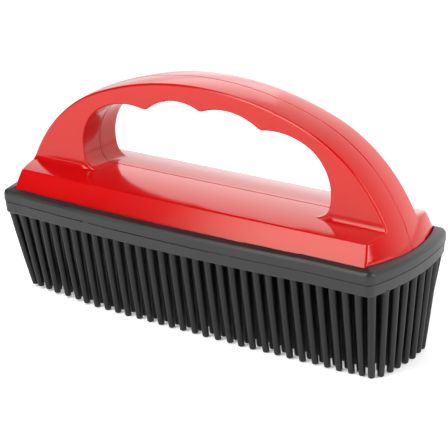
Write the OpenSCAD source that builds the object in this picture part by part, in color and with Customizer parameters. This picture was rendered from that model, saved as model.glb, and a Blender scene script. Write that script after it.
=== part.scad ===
// Hand brush with an arched finger-groove handle and a rubber bristle pad.
// +X runs along the brush, +Y across it and +Z up. The bristle tips stand on z = 0
// and the origin is under the middle of the brush. Sizes are in millimetres.

/* [Body envelope] */
// Radius of the ball shape that rounds each end of the body, side to side and top to bottom
end_r = 59.8; // [58:0.1:62]
// Distance of each end ball's centre from the middle of the brush
end_x = 24.5; // [22:0.5:28]
// Height of the end balls' centres
end_z = 26.7; // [25:0.1:28]
// Height of the centre that the back of the handle curves around
back_centre_z = -36.1; // [-40:0.1:-32]

/* [Body base] */
// Height of the underside of the body's foot
foot_z = 36.1; // [35:0.1:37]
// Width of the foot that sits inside the rubber rim
foot_w = 46.5; // [45:0.5:47]
// Height where the upright foot ends and the side walls start to lean in
wall_z = 41.7; // [41:0.1:43]
// Height of the edge between the side walls and the roof
roof_edge_z = 49.6; // [48:0.1:50]
// Width across the two roof edges
roof_edge_w = 39.1; // [37:0.5:41]
// Height of the roof's ridge
roof_z = 51.7; // [51.2:0.1:52]
// Wall thickness of both shells
wall = 2; // [1.6:0.1:2.2]
// Gap at the joint between the two shells
seam_gap = 0.05; // [0.02:0.01:0.1]

/* [Handle] */
// Width of the handle between its flat sides
handle_w = 19.7; // [18:0.1:22]
// How far the finger opening is off the middle of the brush
grip_shift = 1.2; // [0:0.1:2]
// Radius of the opening against each leg
leg_arc_r = 17.8; // [16:0.1:18.5]
// Distance of the leg arcs' centres from the middle of the opening
leg_arc_x = 36.7; // [36:0.1:37.5]
// Height of the leg arcs' centres
leg_arc_z = 60.2; // [60:0.1:61]
// Radius of the opening where it turns from a leg to the grip
corner_arc_r = 28.9; // [28:0.1:30]
// Turn from upright at which the leg arc meets the corner arc, in degrees
corner_turn = 26; // [24:1:28]
// Distance of the left finger groove's centre from the middle of the brush
left_groove_x = -8.6; // [-9.5:0.1:-8]
// Height of the left finger groove's centre
left_groove_z = 61.3; // [61:0.1:61.6]
// Radius of the left finger groove
left_groove_r = 22.3; // [22:0.1:22.6]
// Distance of the right finger groove's centre from the middle of the brush
right_groove_x = 11.8; // [11.5:0.1:13]
// Height of the right finger groove's centre
right_groove_z = 56.9; // [56.6:0.1:57.2]
// Radius of the right finger groove
right_groove_r = 26.4; // [26.1:0.1:26.7]
// Radius of the fillet where the opening meets the roof
foot_fillet_r = 4; // [3:0.5:5]

/* [Shell joint and screws] */
// Distance of the middle alignment posts from the centre of the brush
mid_post_x = 26; // [22:1:30]
// Height of the middle alignment posts
mid_post_z = 45; // [44.5:0.1:45.5]
// Distance of the leg alignment posts from the centre of the brush
leg_post_x = 66; // [64:1:68]
// Height of the leg alignment posts
leg_post_z = 58; // [56:1:60]
// Radius of an alignment post
post_r = 2.6; // [2.4:0.1:3]
// Radius of the pin on the front shell's posts
pin_r = 1.5; // [1.2:0.1:1.6]
// Length of the pin past the joint
pin_len = 3; // [2:0.5:4]
// Running space around a pin in its socket
pin_gap = 0.1; // [0.05:0.05:0.2]
// Distance between neighbouring screws along the brush
screw_pitch_x = 52; // [50:1:54]
// Distance of the two lines of screws from the joint
screw_y = 12; // [11:0.5:13]
// Radius of a screw boss
boss_r = 3.4; // [3:0.1:3.8]
// Radius of the screw's shank
screw_r = 1.25; // [1.2:0.05:1.3]
// Radius of the screw's head
screw_head_r = 2.8; // [2.4:0.1:2.9]
// Height of the screw's head
screw_head_h = 1.5; // [1.2:0.1:1.6]
// Length of the screw's shank under its head
screw_len = 8; // [6:0.5:9]

/* [Base plate] */
// Thickness of the plate that closes the body
plate_t = 2.5; // [2.2:0.1:3]
// Space between the plate's edge and the shells
plate_gap = 0.25; // [0.1:0.05:0.4]

/* [Rubber pad] */
// Height of the pad's underside, where the bristles start
pad_z = 33.3; // [33:0.1:34]
// Thickness of the pad's floor
pad_floor_t = 2.7; // [2:0.1:2.7]
// Height of the rim's top lip
rim_top_z = 42; // [41.5:0.1:42.5]
// Height of the crease where the rim steps in
crease_z = 38; // [37:0.1:39]
// Width across the rim
rim_w = 52; // [51:0.5:53]
// Length of the rim along the middle of the brush
rim_len = 170.2; // [169:0.1:172]
// Radius of the rim's bowed ends in plan
rim_bow_r = 90; // [80:1:110]
// Radius of the rim's corners
rim_corner_r = 2; // [1.8:0.1:4]
// How far the rim steps in below the crease
rim_step = 0.7; // [0.4:0.1:0.8]
// Depth of the groove around the foot that the rim's bead snaps into
bead = 0.6; // [0.4:0.1:0.8]

/* [Bristles] */
// Number of rows side by side
rows = 9; // [7:1:9]
// Number of bristles in a row
bristles_per_row = 32; // [28:1:32]
// Distance between the outermost rows
field_w = 44.4; // [43:0.2:45]
// Distance between the first and last bristles of an outermost row
field_len = 159.2; // [157:0.1:160]
// How much further the middle row reaches at each end
field_bow = 2.9; // [2:0.1:3.2]
// Radius of a bristle at its root
bristle_root_r = 1.5; // [1.4:0.05:1.5]
// Length of a bristle's straight root, before it starts to taper
bristle_root_h = 3; // [2:0.5:5]
// Radius of a bristle at its tip
bristle_tip_r = 1.25; // [1:0.05:1.25]
// Inward lean of the outer rows' tips at the middle of the brush
lean_side = 3.7; // [2:0.1:5]
// How much of the sideways lean is left to the outermost rows
lean_curve = 0.9; // [0:0.1:1]
// Extra inward lean of the outer rows' tips at the ends of the brush
lean_corner = 2.2; // [0:0.1:3]
// Inward lean of the end bristles' tips along the brush
lean_end = 3; // [2:0.1:4]
// Extra lean along the brush of the four corner bristles' tips
lean_end_corner = 0.9; // [0:0.1:1.5]

/* [Hidden] */
row_ids = [for (i = [1:rows]) str("bristle_row_", i)];

$fn = 96;
long = 200;
clear = 0.1;

// The back of the handle sweeps the end ball from one end centre to the other
sweep_r = norm([end_x, end_z - back_centre_z]);
sweep_half = atan2(end_x, end_z - back_centre_z);
// The foot's ends run upright into the end balls just above wall_z
foot_r = sqrt(end_r * end_r - (wall_z + 0.6 - end_z) * (wall_z + 0.6 - end_z));

wall_slope = (foot_w - roof_edge_w) / 2 / (roof_edge_z - wall_z);
// The middle posts end inside the leaning wall, under at least this much of it
post_cover = 0.5;
mid_post_reach = foot_w / 2 - wall_slope * (mid_post_z + post_r - wall_z) - post_cover;
roof_rise = roof_z - roof_edge_z;
roof_r = (roof_edge_w * roof_edge_w / 4 + roof_rise * roof_rise) / 2 / roof_rise;

corner_step = corner_arc_r - leg_arc_r;
corner_arc_x = leg_arc_x - corner_step * sin(corner_turn);
corner_arc_z = leg_arc_z - corner_step * cos(corner_turn);
finger_grooves = [
    [left_groove_x, left_groove_z, left_groove_r],
    [right_groove_x, right_groove_z, right_groove_r]
];

red = [0.80, 0.03, 0.06];
rubber = [0.10, 0.10, 0.11];

function roof_height(y) = roof_z - roof_r + sqrt(roof_r * roof_r - y * y);

// ---- Helpers ----

// Extrudes an outline drawn in X and Z along Y, evenly about y = 0
module along_y(width) rotate([90, 0, 0]) linear_extrude(width, center = true) children();

// Extrudes an outline drawn in Y and Z along X, evenly about x = 0
module along_x(length) rotate([90, 0, 90]) linear_extrude(length, center = true) children();

// Places children at both ends of the brush
module both_ends(x, z) for (s = [-1, 1]) translate([s * x, 0, z]) children();

// Places children over every screw
module each_screw(side) for (k = [-1:1]) translate([k * screw_pitch_x, side * screw_y, 0]) children();

// ---- Body shapes, drawn smaller by inset for the hollow inside ----

// Everything inside the body's rounded ends and the back of the handle
module envelope(inset) {
    translate([0, 0, back_centre_z]) rotate([90, 0, 0]) rotate([0, 0, 90 - sweep_half])
        rotate_extrude(angle = 2 * sweep_half) translate([sweep_r, 0]) circle(end_r - inset);
    both_ends(end_x, end_z) sphere(end_r - inset);
}

// Plan of the foot: straight sides and bowed ends
module foot_plan(grow) intersection() {
    square([long, foot_w + 2 * grow], center = true);
    for (s = [-1, 1]) translate([s * end_x, 0]) circle(foot_r + grow);
}

// Cross-section of the base: upright foot, leaning walls and a crowned roof
module base_section(inset) {
    half = foot_w / 2 - inset;
    apex_z = roof_z + 1;
    intersection() {
        polygon([
            [-half, foot_z - 1], [half, foot_z - 1], [half, wall_z],
            [half - (apex_z - wall_z) * wall_slope, apex_z],
            [-half + (apex_z - wall_z) * wall_slope, apex_z], [-half, wall_z]
        ]);
        translate([0, roof_z - roof_r]) circle(roof_r - inset, $fn = 360);
    }
}

// Side view of one end of the finger opening, from its middle outwards
module opening_end(grow) {
    translate([leg_arc_x, leg_arc_z]) circle(leg_arc_r + grow);
    translate([corner_arc_x, corner_arc_z]) intersection() {
        circle(corner_arc_r + grow);
        rotate(-corner_turn) translate([-long, -long / 2]) square(long);
    }
}

// Corner of the opening that the fillet between leg and roof fills
module foot_fillet() {
    centre_z = roof_height(handle_w / 2) + 0.2 + foot_fillet_r;
    drop = leg_arc_z - centre_z;
    reach = leg_arc_r - foot_fillet_r + 0.01; // just past tangent, so the two arcs cross cleanly
    centre_x = leg_arc_x + sqrt(reach * reach - drop * drop);
    into_leg = (leg_arc_r + 1) / reach;
    outer_x = leg_arc_x + (centre_x - leg_arc_x) * into_leg;
    outer_z = leg_arc_z - drop * into_leg;
    difference() {
        polygon([[centre_x, centre_z], [centre_x, roof_edge_z], [outer_x, roof_edge_z], [outer_x, outer_z]]);
        translate([centre_x, centre_z]) circle(foot_fillet_r);
    }
}

// Side view of the finger opening
module grip_opening(grow) {
    translate([grip_shift, 0]) {
        for (m = [0, 1]) mirror([m, 0]) opening_end(grow);
        translate([-leg_arc_x, roof_edge_z - 10]) square([2 * leg_arc_x, leg_arc_z - roof_edge_z + 20]);
    }
    for (g = finger_grooves) translate([g[0], g[1]]) circle(g[2] + grow);
}

// Side view of the handle's strip, before the envelope rounds its back
module handle_profile(grow) difference() {
    translate([-long / 2, wall_z + 2]) square([long, 60]);
    grip_opening(grow);
}

// The body as one closed shape
module body_outside() intersection() {
    envelope(0);
    translate([0, 0, foot_z]) linear_extrude(60) foot_plan(0);
    union() {
        along_x(long) base_section(0);
        along_y(handle_w) {
            handle_profile(0);
            translate([grip_shift, 0]) for (m = [0, 1]) mirror([m, 0]) foot_fillet();
        }
    }
}

// The hollow inside the body, open at the foot
module body_inside() intersection() {
    envelope(wall);
    translate([0, 0, foot_z - 1]) linear_extrude(60) foot_plan(-wall);
    union() {
        along_x(long) base_section(wall);
        along_y(handle_w - 2 * wall) handle_profile(wall);
    }
}

// Groove around the foot for the rubber rim's bead
module foot_groove() translate([0, 0, crease_z + 0.7]) linear_extrude(1.6) difference() {
    foot_plan(1);
    foot_plan(-bead);
}

// One alignment post, from inside the side wall to the joint
module post(x, z, reach) translate([x, -seam_gap / 2, z]) rotate([90, 0, 0]) cylinder(h = reach, r = post_r);

// All four posts of the front shell
module posts() {
    for (s = [-1, 1]) {
        post(s * mid_post_x, mid_post_z, mid_post_reach);
        post(s * leg_post_x, leg_post_z, handle_w / 2 - 1);
    }
}

// Round rods on the posts' centre lines, across the joint
module post_cores(r, back, front) {
    for (p = [[mid_post_x, mid_post_z], [leg_post_x, leg_post_z]])
        both_ends(p[0], p[1]) translate([0, front, 0]) rotate([90, 0, 0])
            cylinder(h = front + back, r = r, $fn = 48);
}

// One half of the body with its screw bosses and posts, drawn on the front side
module shell_half() {
    boss_z = foot_z + plate_t + clear;
    difference() {
        intersection() {
            union() {
                difference() {
                    body_outside();
                    body_inside();
                    foot_groove();
                }
                each_screw(-1) translate([0, 0, boss_z]) cylinder(h = roof_edge_z - boss_z, r = boss_r);
                posts();
            }
            translate([-long / 2, -long - seam_gap / 2, 0]) cube(long);
        }
        each_screw(-1) translate([0, 0, boss_z - 1])
            cylinder(h = screw_len + 1, r = screw_r + 0.05, $fn = 48);
    }
}

// ---- Pieces ----

// Front half of the hollow body, with the alignment pins
module body_front_shell() color(red) {
    shell_half();
    post_cores(pin_r, 1, pin_len);
}

// Rear half of the hollow body, with the pins' sockets
module body_rear_shell() color(red) difference() {
    mirror([0, 1, 0]) shell_half();
    post_cores(pin_r + pin_gap, 1, pin_len + 0.5);
}

// Plate inside the foot that ties both shells together and backs the pad
module base_plate() color("dimgray") translate([0, 0, foot_z]) difference() {
    linear_extrude(plate_t) foot_plan(-wall - plate_gap);
    for (s = [-1, 1]) each_screw(s) {
        translate([0, 0, -1]) cylinder(h = plate_t + 2, r = screw_r + 0.3, $fn = 48);
        translate([0, 0, -1]) cylinder(h = screw_head_h + 1 + clear, r = screw_head_r + 0.2, $fn = 48);
    }
}

// Pan-head screws with a cross recess, driven up through the plate
module plate_screws() color("silver") for (s = [-1, 1]) each_screw(s) translate([0, 0, foot_z + clear / 2])
    difference() {
        union() {
            cylinder(h = screw_head_h, r = screw_head_r, $fn = 48);
            cylinder(h = screw_head_h + screw_len - 1, r = screw_r, $fn = 48);
        }
        for (turn = [0, 90]) rotate([0, 0, turn]) cube([3, 0.7, 1.6], center = true);
    }

// Plan of the rim, drawn smaller by inset: straight sides, bowed ends and round corners
module rim_plan(inset) {
    half_w = rim_w / 2 - inset;
    bow_r = rim_bow_r - inset;
    bow_x = rim_len / 2 - rim_bow_r;
    reach = bow_r - rim_corner_r;
    corner_y = half_w - rim_corner_r;
    corner_x = bow_x + sqrt(reach * reach - corner_y * corner_y);
    intersection() {
        square([long, 2 * corner_y * bow_r / reach], center = true);
        translate([bow_x, 0]) circle(bow_r);
        translate([-bow_x, 0]) circle(bow_r);
    }
    square([2 * corner_x, 2 * half_w], center = true);
    for (sx = [-1, 1]) for (sy = [-1, 1])
        translate([sx * corner_x, sy * corner_y]) circle(rim_corner_r, $fn = 48);
}

// Root bar that carries one row of bristles, let into the pad's underside
module root_bar(id, grow) {
    length = 2 * (row_end(id) + bristle_root_r + grow);
    translate([-length / 2, row_y(id) - bristle_root_r - grow, pad_z - grow])
        cube([length, 2 * (bristle_root_r + grow), 1 + 2 * grow]);
}

// Rubber tray: floor under the foot and rim around it, held by a bead
module rubber_pad() color(rubber) difference() {
    floor_z = pad_z + pad_floor_t;
    union() {
        translate([0, 0, pad_z]) linear_extrude(crease_z - pad_z) rim_plan(rim_step);
        translate([0, 0, crease_z]) linear_extrude(rim_top_z - crease_z) rim_plan(0);
    }
    translate([0, 0, floor_z]) linear_extrude(crease_z + 0.8 - floor_z) foot_plan(clear);
    translate([0, 0, crease_z + 0.7]) linear_extrude(1.6) foot_plan(clear - bead);
    translate([0, 0, crease_z + 2.2]) linear_extrude(10) foot_plan(clear);
    for (id = [1:rows]) root_bar(id, 0.03);
}

// Place of a row across the brush, and of its last bristle along the brush
function row_y(id) = ((id - 1) / (rows - 1) - 0.5) * field_w;
function row_end(id) = field_len / 2 + field_bow * (1 - pow(2 * row_y(id) / field_w, 2));

// Where the tip stands of the bristle a share u of the way from the middle to the row's end:
// outer bristles lean inwards
function tip(id, u) = let(v = 2 * row_y(id) / field_w) [
    u * row_end(id) - pow(u, 9) * (lean_end + lean_end_corner * pow(v, 4)),
    row_y(id) - (v + lean_curve * pow(v, 5)) / (1 + lean_curve) * (lean_side + lean_corner * u * u),
    0
];

// One tapered bristle from inside the root bar to its tip, which just touches z = 0
module bristle(id, u) {
    root = [u * row_end(id), row_y(id), pad_z + 0.5];
    run = tip(id, u) - root;
    tilt = acos(-run[2] / norm(run));
    length = (root[2] - bristle_tip_r * sin(tilt)) / cos(tilt);
    translate(root) rotate([0, 180 - tilt, atan2(run[1], run[0])]) {
        cylinder(h = bristle_root_h, r = bristle_root_r, $fn = 24);
        translate([0, 0, bristle_root_h])
            cylinder(h = length - bristle_root_h, r1 = bristle_root_r, r2 = bristle_tip_r, $fn = 24);
    }
}

// One row of bristles on its root bar
module bristle_row(id) color(rubber) {
    root_bar(id, 0);
    for (k = [0:bristles_per_row - 1]) bristle(id, 2 * k / (bristles_per_row - 1) - 1);
}

body_front_shell();
body_rear_shell();
base_plate();
plate_screws();
rubber_pad();
for (id = [1:rows]) bristle_row(id);
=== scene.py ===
"""Looks of a rubber bristle hand brush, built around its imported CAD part.

The two body shells and the rubber tray are meshed from distance functions in millimetres, with
rounded edges. The bristles are lofted one by one. The inner plate and screws stay as packed.
"""

from functools import reduce

import bpy
import numpy as np
from mathutils import Matrix, Vector


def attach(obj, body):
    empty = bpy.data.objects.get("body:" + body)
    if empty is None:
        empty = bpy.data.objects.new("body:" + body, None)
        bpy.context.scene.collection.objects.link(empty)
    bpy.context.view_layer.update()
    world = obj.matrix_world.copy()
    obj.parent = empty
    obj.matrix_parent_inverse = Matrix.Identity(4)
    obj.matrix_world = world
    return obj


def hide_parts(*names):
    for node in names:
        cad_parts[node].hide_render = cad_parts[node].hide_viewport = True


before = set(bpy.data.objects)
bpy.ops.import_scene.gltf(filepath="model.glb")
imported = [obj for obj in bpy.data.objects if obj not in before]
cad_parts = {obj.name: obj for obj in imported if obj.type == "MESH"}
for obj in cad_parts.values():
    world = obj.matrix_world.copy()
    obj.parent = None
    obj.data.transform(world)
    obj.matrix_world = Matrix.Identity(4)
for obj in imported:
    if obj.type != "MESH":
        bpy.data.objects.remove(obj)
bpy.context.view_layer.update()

MM = 0.001
rng = np.random.default_rng(7)

# ---- Dimensions in millimetres, as in the CAD part unless a comment says otherwise ----

# The back of the handle: an end ball swept along an arc over the brush
END_R = 59.8
END_X = 24.5
END_Z = 26.7
BACK_CENTRE_Z = -36.1
SWEEP_R = np.hypot(END_X, END_Z - BACK_CENTRE_Z)
SWEEP_HALF = np.arctan2(END_X, END_Z - BACK_CENTRE_Z)

# The base: upright foot, leaning side walls and a crowned roof
FOOT_Z = 36.1
FOOT_W = 46.5
WALL_Z = 41.7
# The foot's ends run upright into the end balls at this height
FOOT_END_Z = WALL_Z + 0.6
FOOT_R = np.sqrt(END_R ** 2 - (FOOT_END_Z - END_Z) ** 2)
ROOF_EDGE_Z = 49.6
ROOF_EDGE_W = 39.1
ROOF_Z = 51.7
ROOF_RISE = ROOF_Z - ROOF_EDGE_Z
ROOF_R = (ROOF_EDGE_W ** 2 / 4 + ROOF_RISE ** 2) / 2 / ROOF_RISE
WALL_SLOPE = (FOOT_W - ROOF_EDGE_W) / 2 / (ROOF_EDGE_Z - WALL_Z)
WALL = 2.0
SEAM_GAP = 0.05

# The handle and its finger opening
HANDLE_W = 19.7
GRIP_SHIFT = 1.2
LEG_ARC = (36.7, 60.2, 17.8)
CORNER_ARC_R = 28.9
CORNER_TURN = np.radians(26)
CORNER_STEP = CORNER_ARC_R - LEG_ARC[2]
CORNER_ARC = (
    LEG_ARC[0] - CORNER_STEP * np.sin(CORNER_TURN),
    LEG_ARC[1] - CORNER_STEP * np.cos(CORNER_TURN),
    CORNER_ARC_R,
)
FINGER_GROOVES = ((-8.6, 61.3, 22.3), (11.8, 56.9, 26.4))
# Height of the legs' feet: just under the roof, where the handle's side meets it
LEG_SEAT_Z = ROOF_Z - ROOF_R + np.sqrt(ROOF_R ** 2 - HANDLE_W ** 2 / 4) - 0.15

# Inside the shells
POSTS = ((26, 45), (66, 58))
POST_R = 2.6
PIN_R = 1.5
PIN_LEN = 3.0
PIN_ROOT = 1.0
PIN_GAP = 0.1
PIN_EDGE_R = 0.3
SOCKET_ROOM = 0.5
POST_COVER = 0.5
SCREW_XS = (-52, 0, 52)
SCREW_Y = 12
BOSS_R = 3.4
BOSS_Z = 38.7
PILOT_R = 1.3
PILOT_TOP_Z = 46.7

# Roundings of the moulded edges, finer than in the CAD part
EDGE_R = 0.65
ROOF_EDGE_R = 0.35
SEAM_EDGE_R = 0.28
CUSP_R = 0.9
LEG_FILLET_R = 4.0
# The fillet beside a leg is smallest where the leg's foot flares to a point
SIDE_FILLET_MIN_R = 0.3
SIDE_FILLET_GROWTH = 1.2
SIDE_FILLET_FADE = 3.0

# The rubber tray: its rim has a lip and a crease, and grips the foot's groove with a bead.
# The CAD part has no lip or crease, and its bead is 1.6 high
PAD_Z = 33.3
PAD_FLOOR_Z = 36.0
RIM_TOP_Z = 42.0
RIM_W = 52.0
RIM_LEN = 170.2
RIM_BOW_R = 90.0
FOOT_GAP = 0.1
BEAD_Z = 39.5
BEAD_H = 1.4
BEAD_DEPTH = 0.5
GROOVE_H = 1.6
GROOVE_DEPTH = 0.6
CREASE_Z = 38.0
CREASE_W = 0.5
CREASE_DEPTH = 0.5
# The band below the crease steps in by less than in the CAD part, but slopes inwards
CREASE_STEP = 0.3
LOWER_DRAFT = 0.08
LOWER_OVERLAP = 1.0

# Roundings and slope of the tray, where the CAD part is squarer
RIM_CORNER_R = 2.6
LIP_R = 1.2
LIP_SLOPE = 0.3
UNDER_EDGE_R = 0.9
INNER_EDGE_R = 0.35

# How far the soft rim bows out and sags along its -Y side, which is straight in the CAD part
FLEX_X = -8.0
FLEX_REACH = 64.0
FLEX_OUT = 1.3
FLEX_DOWN = 0.5

# The bristles
ROWS = 9
BRISTLES_PER_ROW = 32
FIELD_W = 44.4
FIELD_LEN = 159.2
FIELD_BOW = 2.9
BRISTLE_ROOT_R = 1.5
BRISTLE_TIP_R = 1.25
LEAN_SIDE = 3.7
LEAN_CURVE = 0.9
LEAN_CORNER = 2.2
LEAN_END = 3.0
LEAN_END_CORNER = 0.9

# The bristles' rounded tips, their flare at the pad, and how they stray
TIP_ROUND_R = 0.45
TIP_ROUND_SHARE = 0.014
ROOT_FLARE = ((-0.02, 0.2), (0.0, 0.15), (0.008, 0.08), (0.022, 0.02))
BRISTLE_BEND = 0.12
TIP_SCATTER = 0.16
TIP_SHORTFALL = 0.25

# Wear at the brush's -X end: bristles bent by use, and the last ones splayed outwards
BENT_X = -38.0
BENT_REACH = 44.0
BENT_ALONG = 0.3
BENT_INWARDS = 1.6
BENT_UP = 1.9
SPLAYED_X = -56.0
SPLAYED_REACH = 10.0
SPLAYED_MOVE = np.array([-2.0, 0.0, -1.0])


# ---- Distance functions: negative inside, in millimetres ----

def rounded_max(distances, radius):
    """The overlap of solids, with the convex edges between them rounded."""
    pushed = [np.maximum(d + radius, 0) for d in distances]
    return np.minimum(reduce(np.maximum, distances), -radius) + np.sqrt(sum(p * p for p in pushed))


def rounded_min(distances, radius):
    """Solids joined together, with a fillet in the concave edges between them."""
    pushed = [np.maximum(radius - d, 0) for d in distances]
    return np.maximum(reduce(np.minimum, distances), radius) - np.sqrt(sum(p * p for p in pushed))


def smooth_step(share):
    """A share from 0 to 1 that starts and ends gently."""
    share = np.clip(share, 0, 1)
    return share * share * (3 - 2 * share)


def disc(u, v, circle):
    """Distance from a circle given as its centre's two places and its radius."""
    return np.hypot(u - circle[0], v - circle[1]) - circle[2]


def envelope(x, y, z):
    """The body's rounded ends and the back of the handle."""
    in_sweep = np.arctan2(np.abs(x), z - BACK_CENTRE_Z) < SWEEP_HALF
    over_back = np.hypot(np.hypot(x, z - BACK_CENTRE_Z) - SWEEP_R, y)
    around_end = np.sqrt((np.abs(x) - END_X) ** 2 + y ** 2 + (z - END_Z) ** 2)
    return np.where(in_sweep, over_back, around_end) - END_R


def foot_plan(x, y, grow):
    """Sides and bowed ends of the foot, seen from above."""
    return np.abs(y) - FOOT_W / 2 - grow, np.hypot(np.abs(x) - END_X, y) - FOOT_R - grow


def base(x, y, z):
    """The long base under the handle."""
    lean = (np.abs(y) - FOOT_W / 2 + WALL_SLOPE * (z - WALL_Z)) / np.hypot(1, WALL_SLOPE)
    roof = np.hypot(y, z - ROOF_Z + ROOF_R) - ROOF_R
    side, end = foot_plan(x, y, 0)
    return rounded_max([np.maximum(np.maximum(side, end), lean), roof], ROOF_EDGE_R)


def grip_opening(x, z):
    """Distance from the finger opening without its grooves, in the side view."""
    across = np.abs(x - GRIP_SHIFT)
    along_turn = (across - CORNER_ARC[0]) * np.cos(CORNER_TURN) - (z - CORNER_ARC[1]) * np.sin(CORNER_TURN)
    corner = np.maximum(disc(across, z, CORNER_ARC), along_turn)
    below = np.maximum(across - LEG_ARC[0], z - LEG_ARC[1])
    return reduce(np.minimum, [disc(across, z, LEG_ARC), corner, below])


def body_without_floor(x, y, z):
    """The body's outer form, running on downwards past its foot."""
    opening = grip_opening(x, z)
    grooves = [disc(x, z, groove) for groove in FINGER_GROOVES]
    profile = rounded_max([-opening] + [-g for g in grooves], CUSP_R)
    profile = rounded_min([profile, z - LEG_SEAT_Z], LEG_FILLET_R)
    handle = rounded_max([np.abs(y) - HANDLE_W / 2, profile], EDGE_R)
    growth = SIDE_FILLET_GROWTH * smooth_step(opening / SIDE_FILLET_FADE)
    joined = rounded_min([base(x, y, z), handle], SIDE_FILLET_MIN_R + growth)
    return rounded_max([joined, envelope(x, y, z)], EDGE_R)


def rod(u, v, u0, v0, radius):
    """Distance from a round rod that runs along the third axis."""
    return np.hypot(u - u0, v - v0) - radius


def posts_and_bosses(x, y, z, outer):
    """Alignment posts and screw bosses inside the front half."""
    posts = [rod(np.abs(x), z, px, pz, POST_R) for px, pz in POSTS]
    bosses = [np.maximum(rod(x, y, sx, -SCREW_Y, BOSS_R), BOSS_Z - z) for sx in SCREW_XS]
    return np.maximum(reduce(np.minimum, posts + bosses), outer + POST_COVER)


def front_half(x, y, z):
    """The shell of the front half with its posts and bosses, cut at the joint."""
    outer = body_without_floor(x, y, z)
    shell = np.maximum(outer, -(outer + WALL))
    groove = np.maximum(np.abs(z - BEAD_Z) - GROOVE_H / 2, -GROOVE_DEPTH - np.maximum(*foot_plan(x, y, 0)))
    pilots = [np.maximum(rod(x, y, sx, -SCREW_Y, PILOT_R), z - PILOT_TOP_Z) for sx in SCREW_XS]
    filled = np.minimum(shell, posts_and_bosses(x, y, z, outer))
    filled = reduce(np.maximum, [filled, -groove, FOOT_Z - z] + [-p for p in pilots])
    return rounded_max([filled, y + SEAM_GAP / 2], SEAM_EDGE_R)


def pins(x, y, z, radius, reach):
    """Rods on the posts' centre lines, from inside the posts to past the joint."""
    rods = reduce(np.minimum, [rod(np.abs(x), z, px, pz, radius) for px, pz in POSTS])
    return rounded_max([rods, y - reach, -PIN_ROOT - y], PIN_EDGE_R)


def front_shell(x, y, z):
    return np.minimum(front_half(x, y, z), pins(x, y, z, PIN_R, PIN_LEN))


def rear_shell(x, y, z):
    return np.maximum(front_half(x, -y, z), -pins(x, y, z, PIN_R + PIN_GAP, PIN_LEN + SOCKET_ROOM))


def rim_plan(x, y):
    """Outline of the rubber rim seen from above."""
    bow = np.hypot(np.abs(x) + RIM_BOW_R - RIM_LEN / 2, y) - RIM_BOW_R
    return rounded_max([np.abs(y) - RIM_W / 2, bow], RIM_CORNER_R)


def flexed(x, y):
    """How far the rubber's -Y side has moved outwards and downwards at a place, in use."""
    share = np.clip(1 - ((x - FLEX_X) / FLEX_REACH) ** 2, 0, 1) * np.minimum(y, 0) / (RIM_W / 2)
    return FLEX_OUT * share, FLEX_DOWN * np.abs(share)


def tray(x, y, z):
    """The pad's floor and the rim with its lip, crease and drawn-in lower band."""
    out, down = flexed(x, y)
    y, z = y - out, z + down
    plan = rim_plan(x, y)
    top = (z - RIM_TOP_Z + LIP_SLOPE * plan) / np.hypot(1, LIP_SLOPE)
    upper = np.maximum(rounded_max([plan, top], LIP_R), CREASE_Z - z)
    lower = rounded_max([plan + CREASE_STEP + LOWER_DRAFT * (CREASE_Z - z), PAD_Z - z], UNDER_EDGE_R)
    lower = np.maximum(lower, z - CREASE_Z - LOWER_OVERLAP)
    sides, ends = foot_plan(x, y, FOOT_GAP)
    sides = sides + WALL_SLOPE * np.maximum(z - WALL_Z, 0)
    foot = np.maximum(np.maximum(sides, ends), PAD_FLOOR_Z - z)
    bead = np.maximum(np.abs(z - BEAD_Z) - BEAD_H / 2, -BEAD_DEPTH - np.maximum(sides, ends))
    crease = np.maximum(np.abs(z - CREASE_Z) - CREASE_W / 2, -CREASE_DEPTH - plan)
    outside = np.maximum(np.minimum(upper, lower), -crease)
    return rounded_max([outside, -np.maximum(foot, -bead)], INNER_EDGE_R)


# ---- Meshing ----

def edges_to_cells(start, axis, shape):
    """The four grid cells around each grid edge, as flat cell numbers in turning order."""
    u, v = (axis + 1) % 3, (axis + 2) % 3
    around = []
    for back_u, back_v in ((0, 0), (1, 0), (1, 1), (0, 1)):
        cell = start.copy()
        cell[:, u] -= back_u
        cell[:, v] -= back_v
        around.append(np.ravel_multi_index(cell.T, shape))
    return np.stack(around, axis=1)


def surface_net(distance, axes):
    """Points and quads of the surface where distance is zero, from one point per grid cell."""
    values = distance(*np.meshgrid(*axes, indexing="ij"))
    inside = values < 0
    totals = np.zeros((values.size, 3))
    counts = np.zeros(values.size)
    quads = []
    for axis in range(3):
        first = np.delete(np.arange(values.shape[axis]), -1)
        crossed = np.take(inside, first, axis) != np.take(inside, first + 1, axis)
        start = np.stack(np.nonzero(crossed), axis=1)
        end = start.copy()
        end[:, axis] += 1
        before, after = values[tuple(start.T)], values[tuple(end.T)]
        place = np.stack([axes[k][start[:, k]] for k in range(3)], axis=1)
        step = axes[axis][end[:, axis]] - axes[axis][start[:, axis]]
        place[:, axis] += step * before / (before - after)
        cells = edges_to_cells(start, axis, values.shape)
        for corner in cells.T:
            counts += np.bincount(corner, minlength=values.size)
            for k in range(3):
                totals[:, k] += np.bincount(corner, weights=place[:, k], minlength=values.size)
        starts_inside = inside[tuple(start.T)]
        quads.append(np.where(starts_inside[:, None], cells, cells[:, ::-1]))
    used = np.nonzero(counts)[0]
    number = np.full(values.size, -1)
    number[used] = np.arange(len(used))
    return totals[used] / counts[used, None], number[np.concatenate(quads)]


def slopes(distance, points, reach=0.02):
    """Gradient of a distance function at points."""
    parts = []
    for k in range(3):
        shift = np.zeros(3)
        shift[k] = reach
        parts.append((distance(*(points + shift).T) - distance(*(points - shift).T)) / (2 * reach))
    return np.stack(parts, axis=1)


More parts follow.
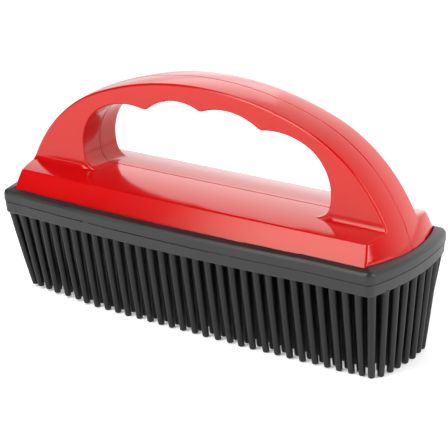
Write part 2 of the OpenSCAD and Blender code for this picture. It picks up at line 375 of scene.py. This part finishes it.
def mesh_object(name, points, faces, normals=None):
    """A smooth-shaded object from points in millimetres, with its own normals if given."""
    mesh = bpy.data.meshes.new(name)
    mesh.from_pydata((np.asarray(points) * MM).tolist(), [], [list(map(int, f)) for f in faces])
    mesh.validate()
    mesh.shade_smooth()
    if normals is not None:
        mesh.normals_split_custom_set_from_vertices(normals.tolist())
    piece = bpy.data.objects.new(name, mesh)
    bpy.context.scene.collection.objects.link(piece)
    return piece


def onto_surface(distance, points):
    """Moves points along the slope to where distance is zero."""
    for _ in range(3):
        slope = slopes(distance, points)
        length2 = np.maximum((slope * slope).sum(axis=1), 0.2)
        move = slope * (distance(*points.T) / length2)[:, None]
        points = points - np.clip(move, -0.2, 0.2)
    return points


def relaxed(points, quads):
    """Points moved halfway to the middle of their neighbours along the quads' sides."""
    pairs = np.concatenate([quads[:, [k, (k + 1) % 4]] for k in range(4)])
    pairs = np.concatenate([pairs, pairs[:, ::-1]])
    counts = np.bincount(pairs[:, 0], minlength=len(points))
    sums = [np.bincount(pairs[:, 0], weights=points[pairs[:, 1], k], minlength=len(points)) for k in range(3)]
    return (points + np.stack(sums, axis=1) / counts[:, None]) / 2


def solid_from(name, distance, axes):
    """An object whose surface lies where a distance function is zero."""
    points, quads = surface_net(distance, axes)
    for _ in range(3):
        points = onto_surface(distance, relaxed(points, quads))
    slope = slopes(distance, points)
    normals = slope / np.maximum(np.linalg.norm(slope, axis=1), 1e-6)[:, None]
    return mesh_object(name, points, quads, normals)


def grid_line(low, high, step):
    """Grid places from low to high."""
    return np.linspace(low, high, int(round((high - low) / step)) + 1)


# ---- Materials ----

class Nodes:
    """A short way to write a material's node tree."""

    def __init__(self, name):
        self.material = bpy.data.materials.new(name)
        self.material.use_nodes = True
        self.tree = self.material.node_tree
        self.shader = self.tree.nodes["Principled BSDF"]
        self.place = self.add("ShaderNodeTexCoord").outputs["Object"]

    def add(self, kind, **settings):
        node = self.tree.nodes.new(kind)
        for key, value in settings.items():
            setattr(node, key, value)
        return node

    def link(self, source, target):
        self.tree.links.new(source, target)

    def noise(self, scale, detail=4.0, stretch=(1, 1, 1)):
        mapping = self.add("ShaderNodeMapping")
        mapping.inputs["Scale"].default_value = stretch
        self.link(self.place, mapping.inputs["Vector"])
        noise = self.add("ShaderNodeTexNoise")
        noise.inputs["Scale"].default_value = scale
        noise.inputs["Detail"].default_value = detail
        self.link(mapping.outputs["Vector"], noise.inputs["Vector"])
        return noise.outputs["Fac"]

    def ramp(self, source, low, high, low_colour, high_colour):
        ramp = self.add("ShaderNodeValToRGB")
        first, last = ramp.color_ramp.elements
        first.position, last.position = low, high
        first.color, last.color = (*low_colour, 1), (*high_colour, 1)
        self.link(source, ramp.inputs["Fac"])
        return ramp.outputs["Color"]

    def remap(self, source, low, high, to_low, to_high):
        node = self.add("ShaderNodeMapRange")
        for key, value in zip(("From Min", "From Max", "To Min", "To Max"), (low, high, to_low, to_high)):
            node.inputs[key].default_value = value
        self.link(source, node.inputs["Value"])
        return node.outputs["Result"]

    def mix(self, amount, first, second):
        node = self.add("ShaderNodeMix", data_type="RGBA")
        self.link(amount, node.inputs["Factor"])
        for value, socket in ((first, node.inputs["A"]), (second, node.inputs["B"])):
            if isinstance(value, tuple):
                socket.default_value = (*value, 1)
            else:
                self.link(value, socket)
        return node.outputs["Result"]

    def add_up(self, first, second):
        node = self.add("ShaderNodeMath", operation="ADD")
        self.link(first, node.inputs[0])
        self.link(second, node.inputs[1])
        return node.outputs["Value"]

    def edges(self, low, high):
        """0 on flat surfaces and 1 on worn convex edges."""
        return self.remap(self.add("ShaderNodeNewGeometry").outputs["Pointiness"], low, high, 0, 1)

    def bump(self, height, strength, distance):
        node = self.add("ShaderNodeBump")
        node.inputs["Strength"].default_value = strength
        node.inputs["Distance"].default_value = distance
        self.link(height, node.inputs["Height"])
        self.link(node.outputs["Normal"], self.shader.inputs["Normal"])


def red_plastic():
    """Polished red plastic with faint moulding flow, fine scuffs and slightly worn edges."""
    m = Nodes("red_plastic")
    flow = m.noise(28, detail=3, stretch=(0.4, 1, 1.4))
    colour = m.ramp(flow, 0.3, 0.7, (0.46, 0.0025, 0.0030), (0.51, 0.0035, 0.0045))
    m.link(m.mix(m.edges(0.62, 0.75), colour, (0.60, 0.015, 0.015)), m.shader.inputs["Base Color"])
    scuffs = m.noise(900, detail=2, stretch=(0.15, 1, 1))
    rough = m.add_up(m.remap(flow, 0.3, 0.7, 0.10, 0.14), m.remap(scuffs, 0.5, 0.8, 0.0, 0.05))
    m.link(rough, m.shader.inputs["Roughness"])
    m.shader.inputs["IOR"].default_value = 1.5
    m.shader.inputs["Specular Tint"].default_value = (1.0, 0.95, 0.82, 1)
    m.bump(m.noise(60, detail=2), 0.05, 0.0004)
    return m.material


def black_rubber(name, ior, darkest, palest, smoothest, roughest):
    """Satin dark rubber with a fine grain, dull patches and paler worn edges."""
    m = Nodes(name)
    m.shader.inputs["IOR"].default_value = ior
    patches = m.noise(55, detail=5)
    colour = m.ramp(patches, 0.3, 0.75, (darkest,) * 3, (palest,) * 3)
    m.link(m.mix(m.edges(0.62, 0.75), colour, (0.085, 0.082, 0.084)), m.shader.inputs["Base Color"])
    m.link(m.remap(patches, 0.3, 0.7, smoothest, roughest), m.shader.inputs["Roughness"])
    m.bump(m.noise(1800, detail=3), 0.15, 0.0001)
    return m.material


def plate_plastic():
    """Plain black moulded plastic with a spark-eroded grain."""
    m = Nodes("plate_plastic")
    grain = m.noise(700, detail=4)
    colour = m.ramp(m.noise(40), 0.3, 0.7, (0.012, 0.012, 0.013), (0.020, 0.020, 0.021))
    m.link(m.mix(m.edges(0.52, 0.62), colour, (0.06, 0.06, 0.062)), m.shader.inputs["Base Color"])
    m.link(m.remap(grain, 0.3, 0.7, 0.5, 0.68), m.shader.inputs["Roughness"])
    m.bump(grain, 0.3, 0.0001)
    return m.material


def zinc_steel():
    """Zinc plated steel with fine turning marks and cloudy plating."""
    m = Nodes("zinc_steel")
    clouds = m.noise(220, detail=5)
    colour = m.ramp(clouds, 0.3, 0.7, (0.50, 0.51, 0.53), (0.64, 0.64, 0.65))
    m.link(m.mix(m.edges(0.52, 0.62), colour, (0.78, 0.78, 0.78)), m.shader.inputs["Base Color"])
    m.link(m.remap(clouds, 0.3, 0.7, 0.26, 0.40), m.shader.inputs["Roughness"])
    m.shader.inputs["Metallic"].default_value = 1.0
    m.bump(m.noise(900, detail=2, stretch=(1, 1, 8)), 0.2, 0.00005)
    return m.material


def floor_paper():
    """Matte near-white paper with a very faint fibre, on a table lit softly from below."""
    m = Nodes("floor_paper")
    fibre = m.noise(600, detail=3)
    m.link(m.ramp(fibre, 0.3, 0.7, (0.87, 0.87, 0.87), (0.89, 0.89, 0.89)), m.shader.inputs["Base Color"])
    m.shader.inputs["Roughness"].default_value = 0.9
    m.shader.inputs["Emission Color"].default_value = (1, 1, 1, 1)
    m.shader.inputs["Emission Strength"].default_value = 0.36
    m.bump(fibre, 0.05, 0.0002)
    return m.material


def finish(piece, material, slot, *nodes):
    """Gives a piece its material, and lets it stand for its CAD nodes."""
    piece.data.materials.clear()
    piece.data.materials.append(material)
    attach(piece, "root")
    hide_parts(*nodes)


# ---- The body ----

def build_body(material):
    """The two red shells, on a grid of 0.5 mm that is finer across the edges and the joint."""
    step = 0.5
    fine = 0.25
    xs = grid_line(-83.87, 83.87, step)
    # Finer at the top of the foot's ends and at the roof's edges
    low_zs = [grid_line(35.3, 42.3, step), grid_line(42.6, 43.4, 0.2), grid_line(43.9, 48.4, step)]
    zs = np.concatenate(low_zs + [grid_line(48.75, 50.25, fine), grid_line(50.75, 92.25, step)])
    # Finer at the roof's edges, at the handle's sides and, most of all, at the joint
    near_joint = np.array([-0.62, -0.4, -0.27, -0.15, -0.06, 0.02, 0.2])
    outer_side = [grid_line(-23.8, -20.8, step), grid_line(-20.4, -18.9, fine), grid_line(-18.5, -11.0, step)]
    side = np.concatenate(outer_side + [grid_line(-10.6, -8.6, fine), grid_line(-8.1, -1.1, step)])
    past_joint = grid_line(0.5, 4.0, 0.5)
    front_ys = np.concatenate([side, near_joint, past_joint])
    front = solid_from("front_shell", front_shell, (xs, front_ys, zs))
    rear = solid_from("rear_shell", rear_shell, (xs, -np.concatenate([side, near_joint])[::-1], zs))
    finish(front, material, "red_plastic", "body_front_shell")
    finish(rear, material, "red_plastic", "body_rear_shell")


def build_tray(material):
    """The rubber tray, on a grid that is finest at the crease."""
    zs = np.concatenate([grid_line(32.1, 37.2, 0.3), grid_line(37.4, 38.6, 0.15), grid_line(38.9, 43.7, 0.3)])
    axes = (grid_line(-85.87, 85.87, 0.5), grid_line(-28.2, 28.2, 0.5), zs)
    finish(solid_from("rubber_tray", tray, axes), material, "rubber", "rubber_pad")


# ---- The bristles ----

def row_y(row):
    return ((row - 1) / (ROWS - 1) - 0.5) * FIELD_W


def row_end(row):
    return FIELD_LEN / 2 + FIELD_BOW * (1 - np.abs(2 * row_y(row) / FIELD_W) ** 3)


def tip_place(row, u):
    """Where a bristle's tip stands, from its share u of the way along its row: outer ones lean inwards."""
    v = 2 * row_y(row) / FIELD_W
    x = u * row_end(row) - u ** 9 * (LEAN_END + LEAN_END_CORNER * v ** 4)
    y = row_y(row) - (v + LEAN_CURVE * v ** 5) / (1 + LEAN_CURVE) * (LEAN_SIDE + LEAN_CORNER * u * u)
    return np.array([x, y, 0.0])


def bent_back(x):
    """How much the bristles towards the brush's -X end are bent by use, from 0 to 1."""
    return smooth_step((BENT_X - x) / BENT_REACH)


def splayed(x):
    """How much the very last bristles at the brush's -X end are pushed outwards, from 0 to 1."""
    return np.clip((SPLAYED_X - x) / SPLAYED_REACH, 0, 1)


def bristle_profile():
    """Share of the length and radius of each ring, from inside the pad to the rounded tip."""
    root = [(share, BRISTLE_ROOT_R + flare) for share, flare in ROOT_FLARE]
    shaft = [(t, BRISTLE_ROOT_R + (BRISTLE_TIP_R - BRISTLE_ROOT_R) * t) for t in np.linspace(0.06, 0.96, 8)]
    turn = np.radians([20, 45, 70, 88])
    tip = [
        (1 - TIP_ROUND_SHARE * (1 - np.sin(a)), BRISTLE_TIP_R - TIP_ROUND_R * (1 - np.cos(a)))
        for a in turn
    ]
    return root + shaft + tip


def bristle_mesh(row, u, sides=16):
    """Points and faces of one bristle, bent a little so that it leaves the pad nearly upright."""
    root = np.array([u * row_end(row), row_y(row), PAD_Z])
    root += np.array([0, 1, -1]) * np.append(0, flexed(*root[:2]))
    tip = tip_place(row, u) + np.append(rng.normal(0, TIP_SCATTER, 2), rng.uniform(0.0, TIP_SHORTFALL))
    tip += bent_back(root[0]) * np.array([BENT_ALONG, -BENT_INWARDS * 2 * root[1] / FIELD_W, BENT_UP])
    tip += splayed(root[0]) * SPLAYED_MOVE
    angles = np.arange(sides) * 2 * np.pi / sides
    points, faces = [], []
    profile = bristle_profile()
    for ring, (share, radius) in enumerate(profile):
        straight = root + (tip - root) * share
        bend = np.array([1, 1, 0]) * (tip - root) * BRISTLE_BEND * share * (share - 1)
        centre = straight + bend
        for a in angles:
            points.append(centre + radius * np.array([np.cos(a), np.sin(a), 0]))
        if ring:
            low, high = (ring - 1) * sides, ring * sides
            for k in range(sides):
                after = (k + 1) % sides
                faces.append([low + after, low + k, high + k, high + after])
    faces.append(list(range(sides)))
    faces.append([len(points) - 1 - k for k in range(sides)])
    return points, faces


def build_row(row, material):
    """One row of bristles."""
    points, faces = [], []
    for u in np.linspace(-1, 1, BRISTLES_PER_ROW):
        new_points, new_faces = bristle_mesh(row, u)
        faces += [[len(points) + k for k in face] for face in new_faces]
        points += new_points
    finish(mesh_object(f"bristles_{row}", points, faces), material, "rubber", f"bristle_row_{row}")


# ---- Stage, lights and camera ----

# The floor, in millimetres
FLOOR_REACH = 3000.0
FLOOR_Z = -0.05

# The camera, in degrees and metres
CAMERA_AZIMUTH = 36.34
CAMERA_ELEVATION = 20.40
CAMERA_ROLL = -1.78
CAMERA_DISTANCE = 0.6574
CAMERA_AIM = Vector((-0.0045, 0.0109, 0.0317))
CAMERA_LENS = 142.1


def build_camera():
    """The camera, turned about its aim by azimuth and elevation and rolled a little."""
    azimuth, elevation, roll = np.radians([CAMERA_AZIMUTH, CAMERA_ELEVATION, CAMERA_ROLL])
    outwards = np.cos(elevation)
    back = Vector((np.sin(azimuth) * outwards, -np.cos(azimuth) * outwards, np.sin(elevation)))
    level = Vector((np.cos(azimuth), np.sin(azimuth), 0))
    upright = back.cross(level)
    right = level * np.cos(roll) + upright * np.sin(roll)
    up = back.cross(right)
    camera = bpy.data.objects.new("camera", bpy.data.cameras.new("camera"))
    camera.data.lens = CAMERA_LENS
    camera.data.clip_start = 0.05
    turned = Matrix((right, up, back)).transposed().to_4x4()
    camera.matrix_world = Matrix.Translation(CAMERA_AIM + back * CAMERA_DISTANCE) @ turned
    bpy.context.scene.collection.objects.link(camera)
    bpy.context.scene.camera = camera


def area_light(name, place, size, power, aim=(0, 0, 0.05)):
    """A rectangular light at a place, in metres and watts, that faces the brush."""
    light = bpy.data.objects.new(name, bpy.data.lights.new(name, "AREA"))
    light.data.shape = "RECTANGLE"
    light.data.size, light.data.size_y = size
    light.data.energy = power
    light.location = place
    light.rotation_euler = (Vector(aim) - Vector(place)).to_track_quat("-Z", "Y").to_euler()
    bpy.context.scene.collection.objects.link(light)


def build_stage():
    """The floor and the lights."""
    corners = [(-1, -1), (1, -1), (1, 1), (-1, 1)]
    places = [(x * FLOOR_REACH, y * FLOOR_REACH, FLOOR_Z) for x, y in corners]
    floor = mesh_object("floor", places, [(0, 1, 2, 3)])
    floor.data.materials.append(floor_paper())
    bpy.context.scene.view_settings.view_transform = "Standard"
    area_light("key", (-0.33, -0.85, 0.42), (0.5, 0.6), 2.6)
    area_light("front_low", (-0.20, -1.12, 0.42), (1.0, 0.6), 3.8)
    area_light("front_mid", (-0.31, -0.84, 0.85), (0.6, 0.4), 2.8)
    area_light("front_high", (-0.25, -0.55, 1.0), (0.5, 0.3), 5.8)
    area_light("right", (1.06, 0.0, 0.60), (0.6, 1.05), 11.5)
    area_light("back_left", (-0.67, 0.80, 0.65), (0.6, 0.5), 0.9)


def build_world():
    """Black all round but for a white backdrop that gets brighter towards the back."""
    world = bpy.data.worlds.new("backdrop")
    world.use_nodes = True
    tree = world.node_tree
    background = tree.nodes["Background"]
    direction = tree.nodes.new("ShaderNodeTexCoord")
    parts = tree.nodes.new("ShaderNodeSeparateXYZ")
    tree.links.new(direction.outputs["Generated"], parts.inputs["Vector"])
    behind = tree.nodes.new("ShaderNodeMapRange")
    for key, value in (("From Min", 0.3), ("From Max", 0.9), ("To Min", 0.0), ("To Max", 2.1)):
        behind.inputs[key].default_value = value
    tree.links.new(parts.outputs["Y"], behind.inputs["Value"])
    tree.links.new(behind.outputs["Result"], background.inputs["Strength"])
    background.inputs["Color"].default_value = (1, 1, 1, 1)
    bpy.context.scene.world = world


# ---- Assembly ----

red = red_plastic()
# The bristles are the same rubber as the tray, with a much darker base colour as painted shade for the gaps
# between and under them
bristle_rubber_with_painted_shade = black_rubber("bristle_rubber_with_painted_shade", 1.42, 0.003, 0.006, 0.40, 0.52)
build_body(red)
build_tray(black_rubber("tray_rubber", 1.45, 0.013, 0.020, 0.33, 0.45))
for row in range(1, ROWS + 1):
    build_row(row, bristle_rubber_with_painted_shade)
for node, material in (("base_plate", plate_plastic()), ("plate_screws", zinc_steel())):
    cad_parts[node].data.materials.clear()
    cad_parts[node].data.materials.append(material)
build_stage()
build_world()
build_camera()
